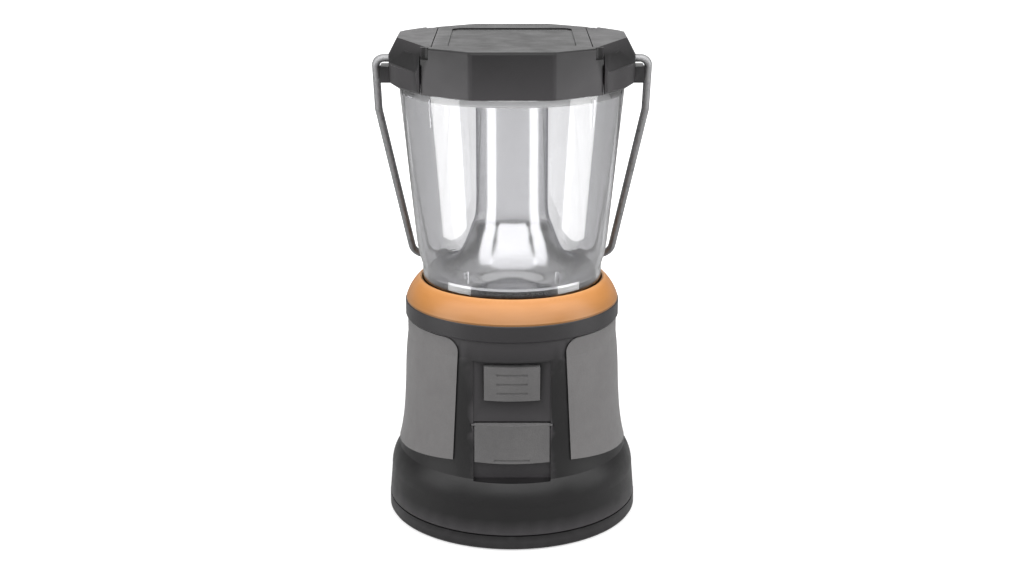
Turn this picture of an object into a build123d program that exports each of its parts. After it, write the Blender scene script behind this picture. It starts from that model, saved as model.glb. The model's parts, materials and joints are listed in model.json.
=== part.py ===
from build123d import *
import math
import os

# Camping lantern, in millimetres. Origin: centre of the foot ring's underside. The front faces -Y.

# Base, outside
FOOT_RADIUS = 59.3
HOUSING_BOTTOM = 7.8
HOUSING_TOP = 96.5
WAIST_RADIUS = 48.7
CAVITY_RADIUS = 46.3
NECK_BORE_RADIUS = 50.0
NECK_BORE_TOP = 16.0
PAD_PROUD = 0.7
PAD_DEPTH = 1.5
PAD_TOP = 96.2
PAD_CORNER = 6.0
COLLAR_RADIUS = 50.3
COLLAR_TOP = 104.5
LENS_BORE_RADIUS = 42.5
RING_TOP = 115.2

# Control pocket on the front
POCKET_HALF_WIDTH = 17.6
POCKET_LOW = 31.4
POCKET_HIGH = 87.0
FLOOR_Y_LOW = -48.7
FLOOR_Y_HIGH = -44.3
INNER_WALL_Y = -42.8
BUTTON_HALF_WIDTH = 12.7
BUTTON_LOW = 69.3
BUTTON_HIGH = 84.7
COVER_HALF_WIDTH = 17.1
COVER_LOW = 39.9
FLAP_AXIS_Y = -46.9
FLAP_AXIS_Z = 56.9
FLAP_PIN_RADIUS = 0.6
PORT_Z = 48.6
GAP = 0.3

# Battery bay
CELL_PITCH = 17.5
CELL_RADIUS = 17.1
CELL_LOW = 14.0
CELL_HIGH = 74.0
NUB_RADIUS = 4.75
NUB_HEIGHT = 1.5
SLEEVE_LOBE_RADIUS = 18.6
SLEEVE_BORE_RADIUS = 17.3
UPPER_PLATE_Z = 77.6
LOWER_PLATE_Z = 10.0

# Light
DECK_Z = 96.5
DECK_THICKNESS = 3.0
FLANGE_Z = 119.0
FLANGE_RADIUS = 39.6
COLUMN_RADIUS = 16.6
COLUMN_TOP = 205.4
SHEET = 1.2
BOARD_THICKNESS = 1.6
BOARD_Z = 205.6
LED_COUNT = 12
LED_CIRCLE = 30.0

# Cap and bail
CAP_LOW = 206.0
CAP_RADIUS = 53.0
FRONT_FACET = (18.0, 52.0)
SIDE_FACET = (39.6, 37.0)
CAP_TOP = 226.4
SADDLE_HALF_WIDTH = 39.6
SADDLE_WALL = 2.4
SHOULDER_RADIUS = 56.0
SHOULDER_START = 40.1
SHOULDER_HALF_DEPTH = 37.8
SHELF_START = 35.2
SHELF_HALF_DEPTH = 33.5
NOTCH_CENTRE = (38.6, 38.0)
NOTCH_RADIUS = 2.8
NOTCH_LOW = 221.4
CORE_RADIUS = 50.3
CORE_TOP = 222.5
CAP_CAVITY_RADIUS = 48.0
CAP_CAVITY_TOP = 220.5
PIVOT_Z = 217.0
WIRE_RADIUS = 1.8
BAIL_HALF_WIDTH = 62.1
BAIL_LEAN = 25.0
BAIL_LENGTH = 116.4
BAIL_STRAIGHT = 28.0
BAIL_CORNER_X = 49.1
LUG_OUTER = 59.9
LUG_HALF_DEPTH = 6.0
LUG_LOW = 206.5
LUG_HIGH = 213.8

LEFT_RIGHT = (-1, 1)
CORNERS = {"front_left": (-1, -1), "front_right": (1, -1), "rear_left": (-1, 1), "rear_right": (1, 1)}


def disc(radius, low, high, x=0, y=0):
    """Upright cylinder between two heights."""
    return Pos(x, y, (low + high) / 2) * Cylinder(radius, high - low)


def ring(outer, inner, low, high, x=0, y=0):
    """Upright tube between two heights."""
    return disc(outer, low, high, x, y) - disc(inner, low - 1, high + 1, x, y)


def block(x_range, y_range, z_range):
    """Box between two corners."""
    spans = [high - low for low, high in (x_range, y_range, z_range)]
    centre = [(low + high) / 2 for low, high in (x_range, y_range, z_range)]
    return Pos(*centre) * Box(*spans)


def turned(outline):
    """Solid of revolution about Z from a closed outline in radius and height."""
    return revolve(Plane.XZ * make_face(outline), Axis.Z)


def polar(count, radius, start=0.0):
    """Points spaced evenly round a circle."""
    for index in range(count):
        angle = math.radians(start + index * 360 / count)
        yield radius * math.cos(angle), radius * math.sin(angle)


def screw(x, y, head_z, length, radius=1.25, up=True):
    """Pan-head screw. Its head sits above head_z, or below it when it points up."""
    side = 1 if up else -1
    head = sorted((head_z, head_z + side * 1.1))
    shaft = sorted((head_z, head_z - side * length))
    slot = block((x - 2.0, x + 2.0), (y - 0.3, y + 0.3), sorted((head_z + side * 0.6, head_z + side * 1.2)))
    return disc(2.3, *head, x, y) + disc(radius, *shaft, x, y) - slot


def barrel(inset=0.0, low=HOUSING_BOTTOM, high=HOUSING_TOP):
    """The base's outer form: a flared foot, a round shoulder and a slim waist."""
    foot = (FOOT_RADIUS - inset, HOUSING_BOTTOM)
    foot_top = (58.2 - inset, 20.5)
    shoulder = (57.2 - inset, 27.0)
    neck = (54.4 - inset, 32.2)
    waist = (WAIST_RADIUS - inset, 88.0)
    rim = (WAIST_RADIUS - inset, HOUSING_TOP)
    outline = Polyline(rim, (0, HOUSING_TOP), (0, HOUSING_BOTTOM), foot, foot_top)
    outline += ThreePointArc(foot_top, shoulder, neck)
    outline += Spline(neck, (52.5 - inset, 40.0), (50.6 - inset, 57.0), waist)
    outline += Line(waist, rim)
    return turned(outline) & disc(80, low, high)


def pocket_air(inset=0.0):
    """Everything in front of the pocket's flat, leaning floor."""
    slope = (FLOOR_Y_HIGH - FLOOR_Y_LOW) / (POCKET_HIGH - POCKET_LOW)
    low_y = FLOOR_Y_LOW - inset - slope * (POCKET_LOW - 20)
    high_y = FLOOR_Y_HIGH - inset + slope * (100 - POCKET_HIGH)
    profile = Polyline((low_y, 20), (high_y, 100), (-80, 100), (-80, 20), close=True)
    return extrude(Plane.YZ * make_face(profile), 60, both=True)


def pad_outline():
    """Prism that cuts one grip's rounded front and rear ends, seen from the front."""
    profile = Polyline((27.6, 30), (24.2, PAD_TOP), (80, PAD_TOP), (80, 30), close=True)
    face = make_face(profile)
    corner = face.vertices().sort_by(Axis.X)[0]
    face = fillet(corner, PAD_CORNER)
    return extrude(Plane.XZ * face, 80, both=True)


def pad_hem():
    """Prism whose underside gives the grips a hem that rises to the front and rear."""
    hem = ThreePointArc((-62, 43.5), (0, 35.0), (62, 43.5))
    outline = hem + Polyline((62, 43.5), (62, 120), (-62, 120), (-62, 43.5))
    return extrude(Plane.YZ * make_face(outline), 80, both=True)


def grip_pads(zone):
    skin = barrel(-PAD_PROUD) - barrel(PAD_DEPTH - PAD_PROUD)
    right = skin & zone
    return right, mirror(right, Plane.YZ)


def base_housing(zone):
    """The outer barrel with a window, and the leaning control panel that fills the window."""
    body = barrel()
    recess = (barrel(-5) - barrel(PAD_DEPTH - PAD_PROUD)) & zone
    body -= recess
    body -= mirror(recess, Plane.YZ)
    inner = disc(CAVITY_RADIUS, NECK_BORE_TOP - 1, HOUSING_TOP + 1)
    inner -= block((-22, 22), (-60, INNER_WALL_Y), (POCKET_LOW - 6, POCKET_HIGH + 2))
    body -= inner
    body -= disc(NECK_BORE_RADIUS, 0, NECK_BORE_TOP)
    body -= ring(56.4, 52.4, 0, 25)
    width = (-POCKET_HALF_WIDTH, POCKET_HALF_WIDTH)
    body -= pocket_air() & block(width, (-80, 0), (POCKET_LOW, POCKET_HIGH))
    body -= block(width, (-50.6, -40), (POCKET_LOW, COVER_LOW - 1.4)) & pocket_air(-1.2)
    body -= block(width, (-60, -45.2), (FLAP_AXIS_Z - 1.5, FLAP_AXIS_Z + 1.6))
    pin_bore = Pos(0, FLAP_AXIS_Y, FLAP_AXIS_Z) * Rot(0, 90, 0) * Cylinder(FLAP_PIN_RADIUS + 0.1, 37.6)
    body -= pin_bore
    window = BUTTON_HALF_WIDTH + GAP
    body -= block((-window, window), (-60, -40), (BUTTON_LOW - GAP, BUTTON_HIGH + GAP))
    body -= block((-6.8, 6.8), (-60, -40), (PORT_Z - 3.1, PORT_Z + 3.1))
    for x, y in polar(4, 44.6, 45):
        body += ring(3.6, 1.25, 82.0, HOUSING_TOP, x, y) & disc(47, 0, 120)
    panel_space = block(width, (-80, 0), (POCKET_LOW, POCKET_HIGH))
    return body - panel_space, body & panel_space


def power_button():
    width = (-BUTTON_HALF_WIDTH, BUTTON_HALF_WIDTH)
    stem = block(width, (-60, INNER_WALL_Y + 0.3), (BUTTON_LOW, BUTTON_HIGH)) & barrel(0.1)
    flange = block((-14.4, 14.4), (INNER_WALL_Y + 0.3, -41.4), (67.6, 86.4))
    for z in (72.8, 77.0, 81.2):
        rib = block((-7.0, 7.0), (-60, -40), (z - 0.5, z + 0.5))
        stem -= rib & (barrel(-1) - barrel(0.5))
    return stem + flange


def switch_parts():
    front = -38.0
    board = block((-13, 13), (front, front + 1.4), (66.6, 85.6))
    body = block((-3.1, 3.1), (front - 2.0, front), (73.9, 80.1))
    axis = Pos(0, front - 2.0, 77.0) * Rot(90, 0, 0)
    body -= axis * Cylinder(1.9, 3.2)
    plunger = Pos(0, -40.85, 77.0) * Rot(90, 0, 0) * Cylinder(1.6, 1.1)
    screws = Part()
    for side in LEFT_RIGHT:
        head = Pos(side * 10.0, front - 0.5, 77.0) * Rot(90, 0, 0) * Cylinder(1.8, 1.0)
        shaft = Pos(side * 10.0, front + 1.2, 77.0) * Rot(90, 0, 0) * Cylinder(0.9, 2.4)
        screws += head + shaft
        board -= Pos(side * 10.0, front, 77.0) * Rot(90, 0, 0) * Cylinder(0.95, 6)
    return board, body, plunger, screws


def port_cover():
    width = (-COVER_HALF_WIDTH, COVER_HALF_WIDTH)
    flap = block(width, (-60, -44), (COVER_LOW, FLAP_AXIS_Z + 0.5)) & barrel(0.2) & pocket_air(0.3)
    knuckle = Pos(0, FLAP_AXIS_Y, FLAP_AXIS_Z) * Rot(0, 90, 0)
    flap += knuckle * Cylinder(0.9, 2 * COVER_HALF_WIDTH)
    flap += knuckle * Cylinder(FLAP_PIN_RADIUS, 2 * COVER_HALF_WIDTH + 2.6)
    lip = block((-8, 8), (-60, -40), (COVER_LOW + 0.8, COVER_LOW + 1.8)) & (barrel(-1) - barrel(0.6))
    return flap - lip


def usb_parts():
    x_half, z_half, front, rear = 6.6, 2.85, -46.4, -33.6
    socket = block((-x_half, x_half), (front, rear), (PORT_Z - z_half, PORT_Z + z_half))
    socket -= block((-6.2, 6.2), (front - 1, rear - 0.5), (PORT_Z - 2.4, PORT_Z + 2.4))
    tongue = block((-5.6, 5.6), (front + 1, rear - 0.5), (PORT_Z + 0.2, PORT_Z + 2.0))
    board = block((-9, 9), (-42.4, -35.4), (PORT_Z - z_half - 1.4, PORT_Z - z_half))
    return socket, tongue, board


def clover(lobe_radius, low, high):
    """Four round lobes, one round each cell, with the gap between them filled."""
    shape = block((-CELL_PITCH, CELL_PITCH), (-CELL_PITCH, CELL_PITCH), (low, high))
    for side_x, side_y in CORNERS.values():
        shape += disc(lobe_radius, low, high, side_x * CELL_PITCH, side_y * CELL_PITCH)
    return shape


def nub_up(side_x, side_y):
    return side_x * side_y > 0


def battery_sleeve():
    sleeve = clover(SLEEVE_LOBE_RADIUS, 13.0, UPPER_PLATE_Z - 0.2)
    for side_x, side_y in CORNERS.values():
        sleeve -= disc(SLEEVE_BORE_RADIUS, 10, 80, side_x * CELL_PITCH, side_y * CELL_PITCH)
    return sleeve


def d_cell(side_x, side_y):
    x, y = side_x * CELL_PITCH, side_y * CELL_PITCH
    can = fillet(Cylinder(CELL_RADIUS, CELL_HIGH - CELL_LOW).edges(), 0.8)
    cell = Pos(x, y, (CELL_LOW + CELL_HIGH) / 2) * can
    if nub_up(side_x, side_y):
        return cell + disc(NUB_RADIUS, CELL_HIGH - 0.5, CELL_HIGH + NUB_HEIGHT, x, y)
    return cell + disc(NUB_RADIUS, CELL_LOW - NUB_HEIGHT, CELL_LOW + 0.5, x, y)


def contact_set(plate_z, cell_z, nub_z, up):
    """Tabs under or over the nubs, and coil springs, as stacked turns, at the flat ends."""
    tabs = Part()
    springs = Part()
    for side_x, side_y in CORNERS.values():
        x, y = side_x * CELL_PITCH, side_y * CELL_PITCH
        if nub_up(side_x, side_y) == up:
            tabs += disc(5.5, *sorted((plate_z, nub_z)), x, y)
            continue
        turns = 3
        rise = (cell_z - plate_z) / turns
        for turn in range(turns):
            low, high = sorted((plate_z + turn * rise, plate_z + (turn + 1) * rise))
            springs += ring(8.0 - 1.5 * turn, 6.2 - 1.5 * turn, low, high, x, y)
    return tabs, springs


def lower_plate():
    plate = disc(43.5, LOWER_PLATE_Z - 1.6, LOWER_PLATE_Z)
    for x, y in polar(4, 33, 0):
        plate -= disc(3.0, 0, 20, x, y)
    return plate


def battery_cover():
    profile = Polyline((0, 2.6), (50, 2.6), (50, 0.8), (57, 0.8), (59.0, 0.8), (59.5, 1.6), (59.4, 7.2), close=False)
    profile += Polyline((59.4, 7.2), (49.2, 7.2), (49.2, 15.0), (46.2, 15.0), (46.2, 5.0), (0, 5.0), (0, 2.6))
    cover = turned(profile)
    cover -= ring(57.0, 51.0, 0.0, 2.6)
    cover -= ring(60.0, 47.6, 9.6, 12.1)
    cover += ring(57.0 - 0.6, 54.0, 2.6, 7.2)
    for x, y in polar(4, 38, 45):
        cover += disc(2.0, 5.0, LOWER_PLATE_Z - 1.6 - GAP, x, y)
    coin_slot = block((-16, 16), (-1.6, 1.6), (2.0, 3.8))
    return cover - coin_slot


def foot_ring():
    foot = ring(57.0, 51.0, 0.0, 2.6)
    for x, y in polar(12, 54, 15):
        foot -= disc(1.2, -1, 0.7, x, y)
    return foot


def upper_collar():
    outer = Polyline((COLLAR_RADIUS - 0.5, HOUSING_TOP + 0.3), (COLLAR_RADIUS, HOUSING_TOP + 0.8))
    outer += Polyline((COLLAR_RADIUS, HOUSING_TOP + 0.8), (COLLAR_RADIUS, COLLAR_TOP - 0.4))
    outer += Polyline((COLLAR_RADIUS, COLLAR_TOP - 0.4), (COLLAR_RADIUS - 0.4, COLLAR_TOP))
    outer += Polyline((COLLAR_RADIUS - 0.4, COLLAR_TOP), (LENS_BORE_RADIUS, COLLAR_TOP), (LENS_BORE_RADIUS, 102.5))
    outer += Polyline((LENS_BORE_RADIUS, 102.5), (47.6, 102.5), (47.6, HOUSING_TOP + 0.3))
    outer += Line((47.6, HOUSING_TOP + 0.3), (COLLAR_RADIUS - 0.5, HOUSING_TOP + 0.3))
    return turned(outer)


def accent_ring():
    low, high = (49.9, COLLAR_TOP), (43.3, RING_TOP)
    outline = Line(low, (49.9, COLLAR_TOP + 0.8)) + ThreePointArc((49.9, COLLAR_TOP + 0.8), (47.6, 110.3), high)
    inner = LENS_BORE_RADIUS
    outline += Polyline(high, (inner, RING_TOP - 0.4), (inner, COLLAR_TOP), low)
    return turned(outline)


def lens():
    wall = 2.0
    outline = Polyline((46.8, 99.8), (46.8, 102.2), (41.9, 102.2), (41.9, 119.5))
    outline += Spline((41.9, 119.5), (42.9, 124.5), (44.5, 132.5), tangents=[(0, 1), (0.11, 1)])
    outline += Polyline((44.5, 132.5), (51.5, 205.4), (50.0, 205.4), (50.0, 209.5), (48.2, 209.5), (48.2, 205.0))
    outline += Line((48.2, 205.0), (51.3 - wall, 202.4))
    outline += Line((51.3 - wall, 202.4), (44.5 - wall, 132.5))
    outline += Spline((44.5 - wall, 132.5), (42.9 - wall, 124.5), (39.9, 119.5), tangents=[(-0.11, -1), (0, -1)])
    outline += Polyline((39.9, 119.5), (39.9, 99.8), (46.8, 99.8))
    globe = turned(outline)
    for angle in (-46, 46, 134, 226):
        rib = block((-0.6, 0.6), (-49.6, -47.4), (191, 204.5))
        globe += Rot(0, 0, angle) * rib
    for index in range(6):
        rib = block((-0.5, 0.5), (-41.2, -39.2), (120.2, 126.0))
        globe += Rot(0, 0, 30 + 60 * index) * rib
    return globe


def reflector():
    outline = Polyline((FLANGE_RADIUS, FLANGE_Z - SHEET), (FLANGE_RADIUS, FLANGE_Z))
    outer = [(FLANGE_RADIUS, FLANGE_Z), (31.4, 120.9), (26.2, 124.6), (22.3, 130.4), (19.0, 139.0)]
    straight = (COLUMN_RADIUS, 156.0)
    outline += Spline(*outer, straight, tangents=[(-1, 0.12), (0, 1)])
    outline += Polyline(straight, (COLUMN_RADIUS, COLUMN_TOP), (COLUMN_RADIUS - SHEET, COLUMN_TOP))
    inner = [(r - 0.9, z - 0.8) for r, z in reversed(outer[1:])]
    inner_straight = (COLUMN_RADIUS - SHEET, 156.0)
    outline += Line((COLUMN_RADIUS - SHEET, COLUMN_TOP), inner_straight)
    inner_end = (FLANGE_RADIUS - 1.0, FLANGE_Z - SHEET)
    outline += Spline(inner_straight, *inner, inner_end, tangents=[(0, -1), (1, -0.12)])
    outline += Line(inner_end, (FLANGE_RADIUS, FLANGE_Z - SHEET))
    return turned(outline)


def top_deck():
    top = DECK_Z + DECK_THICKNESS
    deck = disc(47.2, DECK_Z, top)
    deck += ring(39.2, 36.6, DECK_Z, FLANGE_Z - SHEET)
    deck -= ring(42.1, 40.3, top - 1.0, top + 1)
    for x, y in polar(3, 34, 90):
        deck += disc(3.2, 89.8, DECK_Z, x, y)
        deck -= disc(1.25, 80, 96.0, x, y)
    for x, y in polar(4, 44.6, 45):
        deck -= disc(1.4, DECK_Z - 1, top + 1, x, y)
        deck -= disc(2.5, top - 1.3, top + 1, x, y)
    for x, y in polar(3, 10, 30):
        deck -= disc(1.3, DECK_Z - 1, top + 1, x, y)
    for side in LEFT_RIGHT:
        deck -= disc(1.2, DECK_Z - 1, top + 1, side * 2.5, 0)
    return deck


def column_tube():
    low, high = DECK_Z + DECK_THICKNESS, 207.2
    tube = ring(7.0, 5.4, low, high)
    tube += ring(13.0, 5.4, low, low + 2.5)
    tube += ring(11.0, 5.4, high - 2.5, high)
    for x, y in polar(3, 10, 30):
        tube -= disc(1.3, low - 1, low + 3, x, y)
    for x, y in polar(3, 9, 30):
        tube -= disc(1.0, high - 4, high + 1, x, y)
    return tube


def driver_parts():
    low = 88.2
    board = disc(38.0, low, 89.8)
    for x, y in polar(3, 34, 90):
        board -= disc(1.3, low - 1, 91, x, y)
    coil = ring(7.0, 3.0, low - 5.0, low, 14, 8)
    capacitors = disc(4.0, low - 7.0, low, -16, 10) + disc(4.0, low - 7.0, low, -16, -2)
    chip = block((-2, 6), (-16, -8), (low - 1.6, low))
    return board, coil, capacitors, chip


def heat_sink():
    sink = disc(44.0, 207.2, 209.2)
    for index in range(5):
        sink += ring(40 - 6 * index, 39 - 6 * index, 209.2, 211.9)
    for x, y in polar(4, 31, 45):
        sink += disc(3.4, 209.2, 212.0, x, y)
        sink -= disc(1.25, 208.0, 215, x, y)
    for x, y in polar(3, 9, 30):
        sink -= disc(1.1, 206, 213, x, y)
    return sink - disc(5.4, 206, 213)


def led_parts():
    board = ring(44.0, 17.6, BOARD_Z, BOARD_Z + BOARD_THICKNESS)
    chips = Part()
    for x, y in polar(LED_COUNT, LED_CIRCLE, 15):
        turn = math.degrees(math.atan2(y, x))
        chips += Pos(x, y, BOARD_Z - 0.4) * Rot(0, 0, turn) * Box(3.0, 3.0, 0.8)
    diffuser = ring(46.9, 17.2, 203.4, 204.4)
    diffuser += ring(46.9, 45.6, 204.4, 207.0)
    return board, chips, diffuser


def corner_notch(front_rear):
    x, y = NOTCH_CENTRE
    return disc(NOTCH_RADIUS, NOTCH_LOW, CAP_TOP + 2, x, front_rear * y)


def shoulder_block(side):
    """Faceted side block of the cap, with a shelf towards the saddle and a lug under the bail."""
    depth = (-SHOULDER_HALF_DEPTH, SHOULDER_HALF_DEPTH)
    body = disc(SHOULDER_RADIUS, CAP_LOW, CAP_TOP) & block((SHOULDER_START, 80), depth, (CAP_LOW, CAP_TOP))
    shelf_y = (-SHELF_HALF_DEPTH, SHELF_HALF_DEPTH)
    body += block((SHELF_START, SHOULDER_START + 1), shelf_y, (CORE_TOP, CAP_TOP))
    underside = Polyline((CAP_RADIUS - 1, CAP_LOW - 1), (SHOULDER_RADIUS + 1, CAP_LOW - 1), (SHOULDER_RADIUS + 1, 208.2))
    underside += Line((SHOULDER_RADIUS + 1, 208.2), (CAP_RADIUS - 1, CAP_LOW - 1))
    body -= turned(underside)
    for turn, reach in ((0, 51.6), (-24, 47.4), (38, 54.6)):
        slope = Polyline((reach, CAP_TOP + 1), (reach + 6.0, 216.0), (90, 216.0), (90, CAP_TOP + 1), close=True)
        wedge = extrude(Plane.XZ * make_face(slope), 60, both=True)
        body -= Rot(0, 0, turn) * wedge
    body -= corner_notch(-1) + corner_notch(1)
    lug_y = (-LUG_HALF_DEPTH, LUG_HALF_DEPTH)
    body += block((SHOULDER_START + 8, LUG_OUTER), lug_y, (LUG_LOW, LUG_HIGH))
    return body if side > 0 else mirror(body, Plane.YZ)


def cap_core():
    core = disc(CORE_RADIUS, CAP_LOW, CORE_TOP)
    for side in LEFT_RIGHT:
        core += shoulder_block(side)
    core -= disc(CAP_CAVITY_RADIUS, CAP_LOW - 1, CAP_CAVITY_TOP)
    core -= ring(CORE_RADIUS, CAP_CAVITY_RADIUS - 1, CAP_LOW - 1, 209.8)
    hole = Rot(0, 90, 0) * Cylinder(WIRE_RADIUS + 0.08, 2 * SHOULDER_RADIUS + 10)
    core -= Pos(0, 0, PIVOT_Z) * hole
    for x, y in polar(4, 31, 45):
        core += disc(4.0, 212.0, CAP_CAVITY_TOP + 0.2, x, y)
        core -= disc(1.4, 200, 230, x, y)
    return core


def cap_saddle():
    """Centre band of the cap: flat front facet, two angled ones, and a shallow tray on top."""
    quarter = [FRONT_FACET, SIDE_FACET]
    outline = [(x, -y) for x, y in quarter] + [(x, y) for x, y in reversed(quarter)]
    outline += [(-x, y) for x, y in quarter] + [(-x, -y) for x, y in reversed(quarter)]
    band = extrude(Plane.XY.offset(CAP_LOW) * make_face(Polyline(*outline, close=True)), CAP_TOP - CAP_LOW)
    uprights = [edge for edge in band.edges().filter_by(Axis.Z) if abs(edge.center().X) < SIDE_FACET[0] - 1]
    band = fillet(uprights, 4.0)
    rim = [edge for edge in band.edges().group_by(Axis.Z)[-1] if abs(edge.center().Y) > SIDE_FACET[1]]
    band = fillet(rim, 1.2)
    band -= disc(CORE_RADIUS + GAP, CAP_LOW - 1, CAP_TOP - SADDLE_WALL)
    recess = block((-28, 28), (-34, 34), (CAP_TOP - 0.6, CAP_TOP + 1))
    recess = fillet(recess.edges().filter_by(Axis.Z), 5)
    band -= recess
    seat_y = (-SHELF_HALF_DEPTH - 0.4, SHELF_HALF_DEPTH + 0.4)
    for side in LEFT_RIGHT:
        cut = block((SHELF_START - 0.4, SHOULDER_START + 2), seat_y, (CORE_TOP - GAP, CAP_TOP + 1))
        cut += corner_notch(-1) + corner_notch(1)
        band -= cut if side > 0 else mirror(cut, Plane.YZ)
    return band


def bail():
    """Wire bent in its own plane, then leaned back about the pivot axis."""
    inner_end = 44.6
    run = BAIL_HALF_WIDTH
    points = [(-inner_end, 0), (-run, 0), (-run, -BAIL_STRAIGHT), (-BAIL_CORNER_X, -BAIL_LENGTH)]
    points += [(-x, y) for x, y in reversed(points)]
    radii = [4.0, 14.0, 7.0, 7.0, 14.0, 4.0]
    path = FilletPolyline(*[Vector(x, 0, z) for x, z in points], radius=radii)
    start = Plane(origin=path @ 0, z_dir=path % 0)
    wire = sweep(start * Circle(WIRE_RADIUS), path=path)
    return Pos(0, 0, PIVOT_Z) * Rot(BAIL_LEAN, 0, 0) * wire


def bail_clips():
    clips = Part()
    for side in LEFT_RIGHT:
        clip = Cylinder(3.2, 0.8) - Cylinder(WIRE_RADIUS, 2)
        clips += Pos(side * 46.6, 0, PIVOT_Z) * Rot(0, 90, 0) * clip
    return clips


def screw_sets():
    sets = {"cap_screws": Part(), "deck_screws": Part(), "driver_screws": Part()}
    sets |= {"column_foot_screws": Part(), "column_top_screws": Part()}
    for x, y in polar(4, 31, 45):
        sets["cap_screws"] += screw(x, y, CORE_TOP, 13.0, 1.2)
    for x, y in polar(4, 44.6, 45):
        sets["deck_screws"] += screw(x, y, DECK_Z + DECK_THICKNESS - 1.3, 9.0, 1.2)
    for x, y in polar(3, 34, 90):
        sets["driver_screws"] += screw(x, y, 88.2, 6.5, 1.2, up=False)
    for x, y in polar(3, 10, 30):
        sets["column_foot_screws"] += screw(x, y, DECK_Z + DECK_THICKNESS + 2.5, 6.0, 1.2)
    for x, y in polar(3, 9, 30):
        sets["column_top_screws"] += screw(x, y, 209.2, 4.4, 0.95)
    return sets


def make_parts():
    zone = pad_outline() & pad_hem()
    parts = dict(zip(("base_housing", "control_panel"), base_housing(zone)))
    parts["grip_pad_right"], parts["grip_pad_left"] = grip_pads(zone)
    parts["power_button"] = power_button()
    switch = switch_parts()
    parts |= dict(zip(("switch_board", "switch_body", "switch_plunger", "switch_screws"), switch))
    parts["port_cover"] = port_cover()
    parts |= dict(zip(("usb_socket", "usb_tongue", "usb_board"), usb_parts()))
    parts["battery_sleeve"] = battery_sleeve()
    for name, sides in CORNERS.items():
        parts["d_cell_" + name] = d_cell(*sides)
    parts["upper_contact_plate"] = clover(SLEEVE_LOBE_RADIUS, UPPER_PLATE_Z, UPPER_PLATE_Z + 1.6)
    upper = contact_set(UPPER_PLATE_Z, CELL_HIGH, CELL_HIGH + NUB_HEIGHT, True)
    parts["upper_tabs"], parts["upper_springs"] = upper
    parts["lower_contact_plate"] = lower_plate()
    lower = contact_set(LOWER_PLATE_Z, CELL_LOW, CELL_LOW - NUB_HEIGHT, False)
    parts["lower_tabs"], parts["lower_springs"] = lower
    parts["battery_cover"] = battery_cover()
    parts["foot_ring"] = foot_ring()
    parts["cover_seal"] = Pos(0, 0, 10.85) * Torus(48.7, 0.95)
    parts["upper_collar"] = upper_collar()
    parts["accent_ring"] = accent_ring()
    parts["lens"] = lens()
    parts["lens_seal"] = ring(42.0, 40.4, DECK_Z + DECK_THICKNESS - 1.0, 99.8)
    parts["reflector"] = reflector()
    parts["top_deck"] = top_deck()
    parts["column_tube"] = column_tube()
    drivers = ("driver_board", "driver_coil", "driver_capacitors", "driver_chip")
    parts |= dict(zip(drivers, driver_parts()))
    parts["led_wires"] = disc(0.8, 89.8, 209.0, 2.5) + disc(0.8, 89.8, 209.0, -2.5)
    parts["supply_wires"] = disc(0.8, UPPER_PLATE_Z + 1.6, 88.2, 6, 24) + disc(0.8, UPPER_PLATE_Z + 1.6, 88.2, -6, 24)
    parts["heat_sink"] = heat_sink()
    parts |= dict(zip(("led_board", "led_chips", "led_diffuser"), led_parts()))
    parts["cap_core"] = cap_core()
    parts["cap_saddle"] = cap_saddle()
    parts["bail"] = bail()
    parts["bail_clips"] = bail_clips()
    parts |= screw_sets()
    return parts


os.makedirs("parts", exist_ok=True)
for node, solid in make_parts().items():
    export_step(solid, f"parts/{node}.step")
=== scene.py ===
import bpy
import json
import math
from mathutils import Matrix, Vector

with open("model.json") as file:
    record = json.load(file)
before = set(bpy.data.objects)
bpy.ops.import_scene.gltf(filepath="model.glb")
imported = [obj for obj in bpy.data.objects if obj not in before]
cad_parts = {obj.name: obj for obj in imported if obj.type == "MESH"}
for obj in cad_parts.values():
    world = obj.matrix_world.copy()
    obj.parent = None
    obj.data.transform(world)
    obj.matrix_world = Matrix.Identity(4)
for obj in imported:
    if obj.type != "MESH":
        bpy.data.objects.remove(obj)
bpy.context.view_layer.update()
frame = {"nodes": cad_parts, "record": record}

CRISP_ANGLE = 28           # degrees: sharper edges than this stay crisp
FLOOR_HALF = 6.0           # metres
CAMERA_PLACE = (0.0, -0.7178, 0.3171)
CAMERA_TILT_DOWN = 16.24   # degrees
CAMERA_LENS = 55.47        # millimetres, on a sensor 36 wide
SENSOR_WIDTH = 36.0
SIDE_BOX_SIZE = (0.165, 0.40)
SIDE_BOX_HEIGHT = 0.240
SIDE_BOX_POWER = 0.50

# (height as the sine of the elevation, brightness) of the room round the object
ROOM_LEVELS = ((0.0, 0.62), (0.07, 0.62), (0.16, 0.17), (0.30, 0.17), (0.85, 0.80))

# ---------------------------------------------------------------- materials


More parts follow.
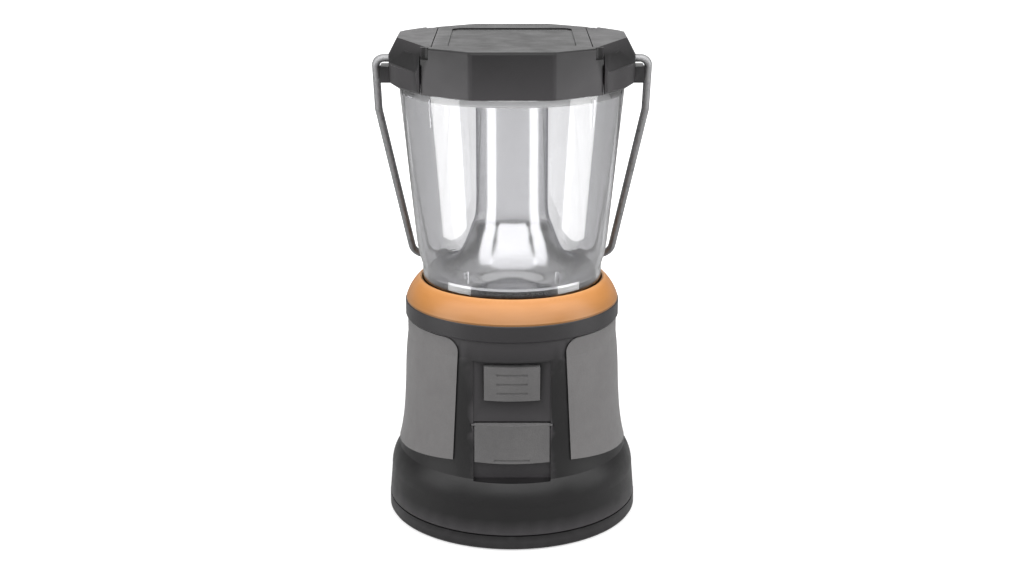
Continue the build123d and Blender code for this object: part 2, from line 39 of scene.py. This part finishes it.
class Shader:
    """A Principled material and the small node graph that feeds it."""

    def __init__(self, name):
        self.material = bpy.data.materials.new(name)
        self.material.use_nodes = True
        self.tree = self.material.node_tree
        self.principled = self.tree.nodes["Principled BSDF"]
        self.place = self.node("ShaderNodeTexCoord").outputs["Object"]

    def node(self, kind, **settings):
        made = self.tree.nodes.new(kind)
        for key, value in settings.items():
            setattr(made, key, value)
        return made

    def link(self, output, target):
        self.tree.links.new(output, target)

    def set(self, **values):
        for key, value in values.items():
            self.principled.inputs[key.replace("_", " ")].default_value = value

    def stretched(self, scale):
        mapping = self.node("ShaderNodeMapping")
        mapping.inputs["Scale"].default_value = scale
        self.link(self.place, mapping.inputs["Vector"])
        return mapping.outputs["Vector"]

    def noise(self, scale, detail=4.0, roughness=0.6, stretch=(1, 1, 1)):
        texture = self.node("ShaderNodeTexNoise")
        texture.inputs["Scale"].default_value = scale
        texture.inputs["Detail"].default_value = detail
        texture.inputs["Roughness"].default_value = roughness
        self.link(self.stretched(stretch), texture.inputs["Vector"])
        return texture.outputs["Fac"]

    def cells(self, scale, feature="F1"):
        texture = self.node("ShaderNodeTexVoronoi", feature=feature)
        texture.inputs["Scale"].default_value = scale
        self.link(self.place, texture.inputs["Vector"])
        return texture.outputs["Distance"]

    def spread(self, fac, low, high, from_low=0.3, from_high=0.7):
        """Maps a texture value onto low..high."""
        remap = self.node("ShaderNodeMapRange")
        remap.inputs["From Min"].default_value = from_low
        remap.inputs["From Max"].default_value = from_high
        remap.inputs["To Min"].default_value = low
        remap.inputs["To Max"].default_value = high
        self.link(fac, remap.inputs["Value"])
        return remap.outputs["Result"]

    def blend(self, fac, first, second):
        mix = self.node("ShaderNodeMix", data_type="RGBA")
        colours = [socket for socket in mix.inputs if socket.type == "RGBA"]
        for socket, colour in zip(colours, (first, second)):
            if isinstance(colour, tuple):
                socket.default_value = (*colour, 1.0)
            else:
                self.link(colour, socket)
        self.link(fac, mix.inputs[0])
        return [socket for socket in mix.outputs if socket.type == "RGBA"][0]

    def edge_wear(self):
        """Near 1 on sharp convex edges, 0 on flats."""
        geometry = self.node("ShaderNodeNewGeometry")
        return self.spread(geometry.outputs["Pointiness"], 0.0, 1.0, 0.52, 0.60)

    def rim(self, start, full, most=1.0):
        """0 where the surface faces the eye, rising to most where it turns away."""
        weight = self.node("ShaderNodeLayerWeight")
        weight.inputs["Blend"].default_value = 0.5
        return self.spread(weight.outputs["Facing"], 0.0, most, start, full)

    def slope(self, low, high):
        """0 where the surface's normal has a Z up to low, 1 from high."""
        geometry = self.node("ShaderNodeNewGeometry")
        split = self.node("ShaderNodeSeparateXYZ")
        self.link(geometry.outputs["Normal"], split.inputs["Vector"])
        return self.spread(split.outputs["Z"], 0.0, 1.0, low, high)

    def maths(self, operation, first, second):
        node = self.node("ShaderNodeMath", operation=operation)
        self.link(first, node.inputs[0])
        self.link(second, node.inputs[1])
        return node.outputs["Value"]

    def bumps(self, *layers):
        """Chains (height, distance, strength) layers into the normal."""
        normal = None
        for height, distance, strength in layers:
            bump = self.node("ShaderNodeBump")
            bump.inputs["Distance"].default_value = distance
            bump.inputs["Strength"].default_value = strength
            self.link(height, bump.inputs["Height"])
            if normal is not None:
                self.link(normal, bump.inputs["Normal"])
            normal = bump.outputs["Normal"]
        self.link(normal, self.principled.inputs["Normal"])

    def colour(self, output):
        self.link(output, self.principled.inputs["Base Color"])

    def rough(self, output):
        self.link(output, self.principled.inputs["Roughness"])


def moulded_plastic(name, base, worn, rough):
    """Spark-eroded moulded plastic: fine pebble grain, soft blotches and paler rubbed edges."""
    shader = Shader(name)
    blotch = shader.spread(shader.noise(38.0, 5.0), 0.0, 1.0)
    tone = shader.blend(blotch, base, tuple(c * 1.22 for c in base))
    shader.colour(shader.blend(shader.edge_wear(), tone, worn))
    shader.rough(shader.spread(shader.noise(90.0, 6.0), *rough))
    pebble = shader.cells(2600.0)
    drift = shader.noise(24.0, 2.0)
    shader.bumps((pebble, 0.00003, 0.55), (drift, 0.00015, 0.10))
    shader.set(Specular_IOR_Level=0.34)
    return shader.material


def frosted_plastic_painted_glow(name):
    """White diffusing plastic with a painted glow: a small steady emission makes it shine though no
    lamp lights it.
    """
    shader = Shader(name)
    cloud = shader.spread(shader.noise(45.0, 5.0), 0.0, 1.0)
    shader.colour(shader.blend(cloud, (0.88, 0.88, 0.88), (0.94, 0.94, 0.94)))
    shader.rough(shader.spread(shader.noise(120.0, 4.0), 0.34, 0.50))
    shader.bumps((shader.cells(1800.0), 0.00003, 0.4))
    # painted glow: a constant emission, not light that has come through the plastic
    shader.set(Emission_Color=(1.0, 1.0, 1.0, 1.0), Emission_Strength=0.32)
    return shader.material


def soft_rubber(name, base, pale):
    """Overmoulded soft-touch rubber: matt, finely pitted, with a dusty bloom."""
    shader = Shader(name)
    dust = shader.spread(shader.noise(60.0, 6.0, 0.7), 0.0, 1.0)
    speck = shader.spread(shader.noise(2200.0, 2.0), 0.0, 0.35)
    tone = shader.blend(dust, base, pale)
    shader.colour(shader.blend(speck, tone, tuple(c * 0.72 for c in base)))
    shader.rough(shader.spread(shader.noise(140.0, 5.0), 0.62, 0.80))
    shader.bumps((shader.cells(1500.0), 0.00005, 0.6), (shader.noise(3000.0, 2.0), 0.00002, 0.3))
    shader.set(Specular_IOR_Level=0.35, Sheen_Weight=0.15, Sheen_Roughness=0.5)
    return shader.material


def satin_orange(name):
    """Orange moulded ring: satin skin with faint flow marks, and painted shade that darkens it where
    its surface turns from up to sideways and down.
    """
    shader = Shader(name)
    flow = shader.spread(shader.noise(30.0, 5.0, 0.6, (1, 1, 6)), 0.0, 1.0)
    tone = shader.blend(flow, (0.50, 0.20, 0.045), (0.57, 0.24, 0.062))
    tone = shader.blend(shader.edge_wear(), tone, (0.66, 0.33, 0.13))
    # painted shade: the colour goes dark where the surface's normal points sideways or down, and keeps
    # its tone where it points up
    shader.colour(shader.blend(shader.slope(0.10, 0.80), (0.20, 0.085, 0.018), tone))
    shader.rough(shader.spread(shader.noise(110.0, 5.0), 0.34, 0.46))
    shader.bumps((shader.cells(2200.0), 0.00002, 0.4), (shader.noise(20.0, 2.0), 0.0002, 0.08))
    shader.set(Coat_Weight=0.15, Coat_Roughness=0.25)
    return shader.material


def clear_plastic(name):
    """Clear polycarbonate with faint hazing and a smoky body.

    Painted shade turns the wall grey where the eye meets it at a slant and near black at the steepest
    slants, drawing a dark outline. The glossy coat's strength is masked to a band part of the way
    round, which places its reflections there as a painted reflection band.
    """
    shader = Shader(name)
    haze = shader.noise(26.0, 5.0)
    clear = shader.blend(shader.spread(haze, 0.0, 1.0), (0.985, 0.985, 0.99), (0.95, 0.95, 0.955))
    # painted shade: grey where the surface turns away from the eye
    rim_painted_grey = shader.blend(shader.rim(0.09, 0.42), clear, (0.61, 0.61, 0.62))
    # painted shade: near black at the steepest slants, a dark outline round the lens
    shader.colour(shader.blend(shader.rim(0.72, 0.92), rim_painted_grey, (0.10, 0.10, 0.105)))
    shader.rough(shader.spread(haze, 0.0, 0.03))
    shader.bumps((shader.noise(16.0, 2.0, 0.4, (1, 1, 0.25)), 0.0002, 0.04))
    # painted reflection band: by viewing angle, the coat is strong only part of the way round
    painted_gloss_band = shader.maths("MULTIPLY", shader.rim(0.90, 0.55), shader.rim(0.09, 0.18))
    shader.link(painted_gloss_band, shader.principled.inputs["Coat Weight"])
    shader.set(Transmission_Weight=1.0, IOR=1.52, Coat_IOR=1.8, Coat_Roughness=0.02)
    body = shader.node("ShaderNodeVolumeAbsorption")
    body.inputs["Color"].default_value = (0.50, 0.50, 0.51, 1.0)
    body.inputs["Density"].default_value = 310.0
    shader.link(body.outputs["Volume"], shader.tree.nodes["Material Output"].inputs["Volume"])
    return shader.material


def plated_chrome(name):
    """Vacuum-plated mirror with slight orange peel and wiping haze, and painted shade that makes it
    darker on upright walls.
    """
    shader = Shader(name)
    haze = shader.noise(55.0, 6.0, 0.65, (1, 1, 0.3))
    plate = shader.blend(shader.spread(haze, 0.0, 1.0), (0.93, 0.93, 0.94), (0.97, 0.97, 0.98))
    # painted shade: the plate's colour drops to 0.62 where the normal is near level, so upright walls
    # reflect less
    shader.colour(shader.blend(shader.slope(0.05, 0.35), (0.62, 0.62, 0.63), plate))
    shader.rough(shader.spread(haze, 0.13, 0.21))
    shader.bumps((shader.noise(90.0, 2.0), 0.00006, 0.08))
    shader.set(Metallic=1.0, Specular_Tint=(0.25, 0.25, 0.27, 1.0))
    return shader.material


def drawn_steel(name, base=(0.50, 0.50, 0.51), stretch=(1, 1, 0.08), rough=(0.22, 0.40)):
    """Drawn or rolled steel: fine streaks along the metal and small dark pits."""
    shader = Shader(name)
    streak = shader.noise(900.0, 3.0, 0.6, stretch)
    pits = shader.spread(shader.noise(420.0, 4.0), 0.0, 0.6, 0.58, 0.72)
    bright = tuple(min(1.0, c * 1.35) for c in base)
    tone = shader.blend(shader.spread(streak, 0.0, 1.0), base, bright)
    shader.colour(shader.blend(pits, tone, tuple(c * 0.45 for c in base)))
    shader.rough(shader.spread(streak, *rough))
    shader.bumps((streak, 0.00003, 0.25))
    shader.set(Metallic=1.0)
    return shader.material


def board_mask(name, base, line):
    """Solder mask over copper tracks."""
    shader = Shader(name)
    tracks = shader.spread(shader.cells(260.0, "DISTANCE_TO_EDGE"), 1.0, 0.0, 0.02, 0.06)
    shader.colour(shader.blend(tracks, base, line))
    shader.rough(shader.spread(shader.noise(300.0), 0.28, 0.42))
    shader.bumps((tracks, 0.00004, 0.4))
    return shader.material


def printed_jacket(name):
    """Shrink-wrapped cell jacket: two plain bands and slight wrinkles, with no print."""
    shader = Shader(name)
    height = shader.node("ShaderNodeSeparateXYZ")
    shader.link(shader.place, height.inputs["Vector"])
    band = shader.spread(height.outputs["Z"], 0.0, 1.0, 0.0545, 0.0550)
    dark = shader.blend(shader.noise(60.0), (0.012, 0.014, 0.02), (0.03, 0.033, 0.045))
    shader.colour(shader.blend(band, dark, (0.42, 0.24, 0.09)))
    shader.rough(shader.spread(shader.noise(120.0), 0.22, 0.36))
    shader.bumps((shader.noise(70.0, 3.0, 0.5, (1, 1, 3)), 0.0002, 0.12))
    shader.set(Metallic=0.5)
    return shader.material


MATERIALS = {
    "housing_black": moulded_plastic(
        "charcoal_plastic", (0.0055, 0.0052, 0.0055), (0.034, 0.032, 0.034), (0.34, 0.46)
    ),
    "grip_grey": soft_rubber("grey_grip_rubber", (0.112, 0.108, 0.108), (0.132, 0.128, 0.128)),
    "button_grey": soft_rubber("control_rubber", (0.076, 0.074, 0.075), (0.097, 0.094, 0.094)),
    "accent_orange": satin_orange("orange_plastic"),
    "clear_lens": clear_plastic("clear_polycarbonate"),
    "chrome": plated_chrome("plated_mirror"),
    "wire_steel": drawn_steel("bail_steel", (0.28, 0.28, 0.285), rough=(0.48, 0.64)),
    "screw_steel": drawn_steel("zinc_steel", (0.46, 0.46, 0.48)),
    "aluminium": drawn_steel("pressed_aluminium", (0.62, 0.63, 0.64), (1, 1, 1)),
    "board_green": board_mask("green_board", (0.012, 0.09, 0.035), (0.03, 0.17, 0.07)),
    "board_white": board_mask("white_board", (0.72, 0.72, 0.70), (0.60, 0.60, 0.58)),
    "led_yellow": moulded_plastic("led_phosphor", (0.72, 0.55, 0.10), (0.80, 0.66, 0.25), (0.3, 0.5)),
    "diffuser_white": frosted_plastic_painted_glow("frosted_plastic_painted_glow"),
    "seal_rubber": soft_rubber("black_rubber", (0.020, 0.020, 0.021), (0.034, 0.034, 0.035)),
    "contact_brass": drawn_steel("contact_brass", (0.62, 0.45, 0.18), (1, 1, 1)),
    "cell_jacket": printed_jacket("cell_jacket"),
    "wire_red": soft_rubber("red_insulation", (0.42, 0.02, 0.015), (0.50, 0.04, 0.03)),
}

SLOT_OF_NODE = {part["node"]: part["material_slot"] for part in frame["record"]["subparts"]}


def finish_cad_nodes():
    """Each CAD node gets its slot's detailed material, smooth faces and crisp edges."""
    for name, node in frame["nodes"].items():
        node.data.materials.clear()
        node.data.materials.append(MATERIALS[SLOT_OF_NODE[name]])
        node.data.shade_smooth()
        node.data.set_sharp_from_angle(angle=math.radians(CRISP_ANGLE))


finish_cad_nodes()

# ---------------------------------------------------------------- studio


def area_light(name, place, target, size, power):
    light = bpy.data.lights.new(name, "AREA")
    light.shape = "RECTANGLE"
    light.size, light.size_y = size
    light.energy = power
    lamp = bpy.data.objects.new(name, light)
    lamp.location = place
    lamp.visible_camera = False
    lamp.rotation_euler = (Vector(target) - Vector(place)).to_track_quat("-Z", "Y").to_euler()
    bpy.context.scene.collection.objects.link(lamp)


def studio_world():
    """A dim room with a pale skirting and ceiling, so that the softboxes shape the reflections."""
    world = bpy.data.worlds.new("studio")
    world.use_nodes = True
    tree = world.node_tree
    background = tree.nodes["Background"]
    coordinates = tree.nodes.new("ShaderNodeTexCoord")
    split = tree.nodes.new("ShaderNodeSeparateXYZ")
    ramp = tree.nodes.new("ShaderNodeValToRGB")
    while len(ramp.color_ramp.elements) < len(ROOM_LEVELS):
        ramp.color_ramp.elements.new(0.5)
    for element, (height, level) in zip(ramp.color_ramp.elements, ROOM_LEVELS):
        element.position = height
        element.color = (level, level, level, 1.0)
    tree.links.new(coordinates.outputs["Generated"], split.inputs["Vector"])
    tree.links.new(split.outputs["Z"], ramp.inputs["Fac"])
    tree.links.new(ramp.outputs["Color"], background.inputs["Color"])
    background.inputs["Strength"].default_value = 1.0
    bpy.context.scene.world = world


def pale_floor():
    """A pale floor that glows when seen directly or by a ray that has just left the lens; its glow is
    weaker close to the object, a painted shade round the base.
    """
    mesh = bpy.data.meshes.new("floor")
    corners = [(x * FLOOR_HALF, y * FLOOR_HALF, 0) for x, y in ((-1, -1), (1, -1), (1, 1), (-1, 1))]
    mesh.from_pydata(corners, [], [(0, 1, 2, 3)])
    floor = bpy.data.objects.new("floor", mesh)
    bpy.context.scene.collection.objects.link(floor)
    shader = Shader("pale_floor")
    mottle = shader.spread(shader.noise(3.0), 0.0, 1.0)
    shader.colour(shader.blend(mottle, (0.44, 0.44, 0.44), (0.47, 0.47, 0.47)))
    shader.rough(shader.spread(shader.noise(9.0), 0.6, 0.7))
    away = shader.node("ShaderNodeVectorMath", operation="LENGTH")
    shader.link(shader.place, away.inputs[0])
    path = shader.node("ShaderNodeLightPath")
    seen = shader.maths("MAXIMUM", path.outputs["Is Camera Ray"], path.outputs["Is Transmission Ray"])
    # painted shade: the glow is dimmer within about 0.45 m of the object
    strength = shader.spread(away.outputs["Value"], 0.58, 1.12, 0.08, 0.45)
    shader.link(shader.maths("MULTIPLY", strength, seen), shader.principled.inputs["Emission Strength"])
    shader.set(Emission_Color=(1, 1, 1, 1), Specular_IOR_Level=0.1)
    mesh.materials.append(shader.material)


def camera():
    """Seen from in front and a little above."""
    data = bpy.data.cameras.new("camera")
    data.sensor_width = SENSOR_WIDTH
    data.lens = CAMERA_LENS
    viewer = bpy.data.objects.new("camera", data)
    viewer.location = CAMERA_PLACE
    viewer.rotation_euler = (math.radians(90 - CAMERA_TILT_DOWN), 0.0, 0.0)
    bpy.context.scene.collection.objects.link(viewer)
    bpy.context.scene.camera = viewer


studio_world()
pale_floor()
camera()
for side_box, box_x, box_y in (("left_softbox", -0.253, -0.107), ("right_softbox", 0.263, -0.080)):
    aim = (0.0, 0.0, SIDE_BOX_HEIGHT)
    area_light(side_box, (box_x, box_y, SIDE_BOX_HEIGHT), aim, SIDE_BOX_SIZE, SIDE_BOX_POWER)
area_light("front_softbox", (0.04, -0.76, 0.80), (0.0, 0.0, 0.12), (1.80, 1.25), 16.0)
area_light("top_softbox", (0.0, 0.40, 1.0), (0.0, 0.40, 0.0), (0.9, 1.3), 2.0)
area_light("rear_softbox", (0.0, 1.3, 0.62), (0.0, 0.0, 0.16), (0.9, 0.5), 1.4)

bpy.context.scene.view_settings.view_transform = "Standard"
